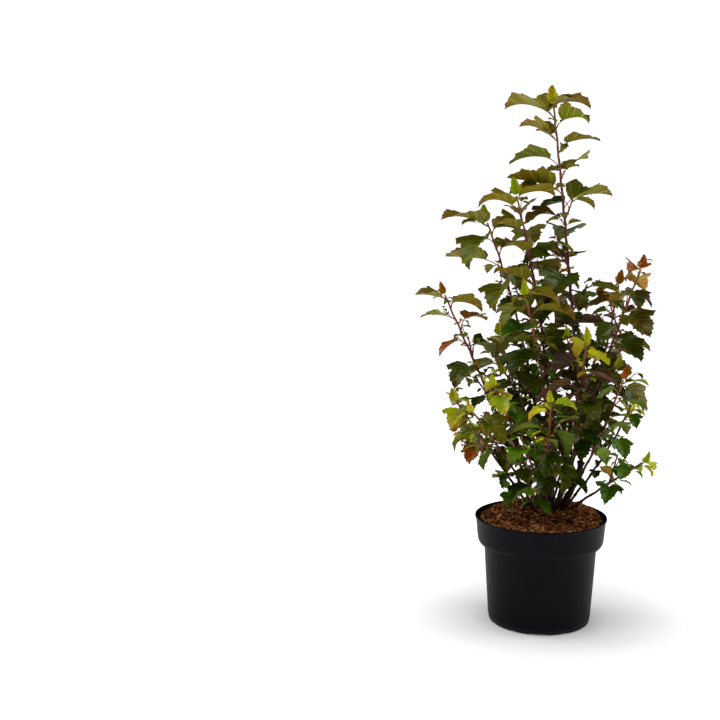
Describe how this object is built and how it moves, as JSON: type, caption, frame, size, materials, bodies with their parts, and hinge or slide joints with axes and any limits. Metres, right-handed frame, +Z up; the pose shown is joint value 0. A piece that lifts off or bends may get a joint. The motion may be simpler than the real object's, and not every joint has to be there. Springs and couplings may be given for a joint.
{
  "type": "potted shrub",
  "caption": "Young shrub with many upright reddish canes and lobed green and bronze leaves, standing in a round black nursery pot filled with bark mulch.",
  "frame": {"origin": "centre of the pot's flat underside, on the surface that it stands on", "axes": "+Z up along the pot's axis, -Y the side that the picture shows, +X to its right"},
  "size_m": [0.3474, 0.3156, 0.7718],
  "materials": {
    "black_plastic": "black injection-moulded plastic with a satin surface",
    "bark_mulch": "loose red-brown bark chips, dull",
    "old_wood": "almost black old bark, dull",
    "young_bark": "smooth maroon young bark with a soft sheen",
    "foliage": "leaves with a soft sheen, dark green to bronze, the young ones lime and orange-red"
  },
  "bodies": {
    "root": {"back_cane": "young_bark", "back_foliage": "foliage", "back_left_cane": "young_bark", "back_left_foliage": "foliage", "back_low_cane": "young_bark", "back_low_foliage": "foliage", "back_right_cane": "young_bark", "back_right_foliage": "foliage", "foot_front": "foliage", "foot_left": "foliage", "front_cane": "young_bark", "front_foliage": "foliage", "front_left_cane": "young_bark", "front_left_foliage": "foliage", "front_right_cane": "young_bark", "front_right_foliage": "foliage", "front_right_side_1": "foliage", "leader_cane": "young_bark", "leader_foliage": "foliage", "leader_side_1": "foliage", "leader_side_2": "foliage", "leader_side_3": "foliage", "left_back_cane": "young_bark", "left_back_foliage": "foliage", "left_fan_cane": "young_bark", "left_fan_foliage": "foliage", "left_front_cane": "young_bark", "left_front_foliage": "foliage", "left_low_cane": "young_bark", "left_low_foliage": "foliage", "left_mid_cane": "young_bark", "left_mid_foliage": "foliage", "left_mid_side_1": "foliage", "left_mid_side_2": "foliage", "left_tall_cane": "young_bark", "left_tall_foliage": "foliage", "left_tall_side_1": "foliage", "old_stump": "old_wood", "pink_cane": "young_bark", "pink_foliage": "foliage", "pink_side_1": "foliage", "pot": "black_plastic", "right_back_cane": "young_bark", "right_back_foliage": "foliage", "right_back_side_1": "foliage", "right_bare_cane": "young_bark", "right_bare_foliage": "foliage", "right_low_cane": "young_bark", "right_low_foliage": "foliage", "right_mid_cane": "young_bark", "right_mid_foliage": "foliage", "right_tall_cane": "young_bark", "right_tall_foliage": "foliage", "right_tall_side_1": "foliage", "right_tall_side_2": "foliage", "second_cane": "young_bark", "second_foliage": "foliage", "second_side_1": "foliage", "second_side_2": "foliage", "soil": "bark_mulch"}
  },
  "joints": []
}
